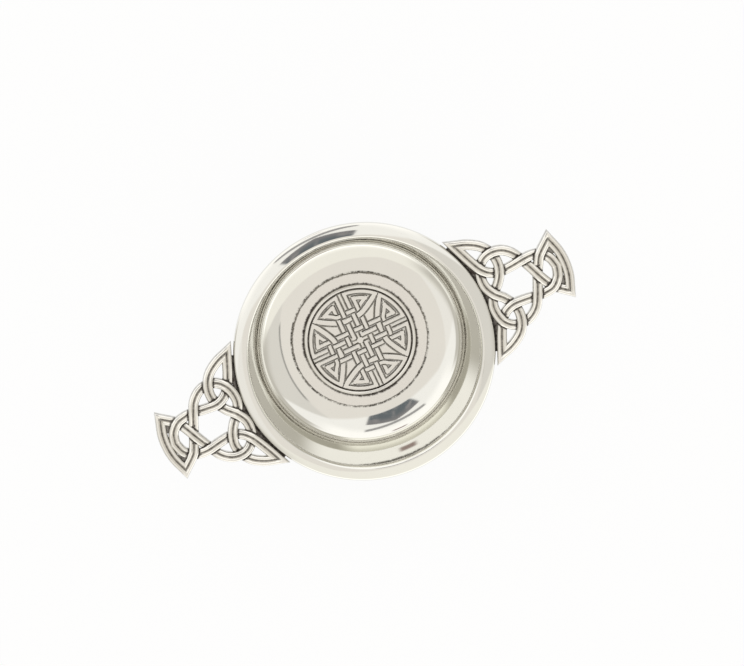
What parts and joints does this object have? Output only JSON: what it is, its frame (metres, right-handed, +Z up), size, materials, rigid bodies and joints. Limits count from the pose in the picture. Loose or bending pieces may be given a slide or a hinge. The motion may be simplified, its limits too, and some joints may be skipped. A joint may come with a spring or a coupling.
{
  "type": "quaich",
  "caption": "Shallow two-lugged pewter drinking bowl on a spread foot, with pierced knotwork lugs at the rim and a round knotwork badge on the floor.",
  "frame": {"origin": "centre of the foot's base plane, on the bowl's axis", "axes": "+Z up along the bowl's axis, +X out along one lug"},
  "size_m": [0.1542, 0.0908, 0.0345],
  "materials": {
    "pewter_polished": "polished",
    "pewter_antiqued": "satin",
    "solder": "satin"
  },
  "bodies": {
    "root": {"bowl": "pewter_polished", "foot": "pewter_polished", "lug_left": "pewter_antiqued", "lug_right": "pewter_antiqued", "badge": "pewter_antiqued", "seam_left": "solder", "seam_right": "solder", "foot_bead": "solder", "badge_bead": "solder"}
  },
  "joints": []
}
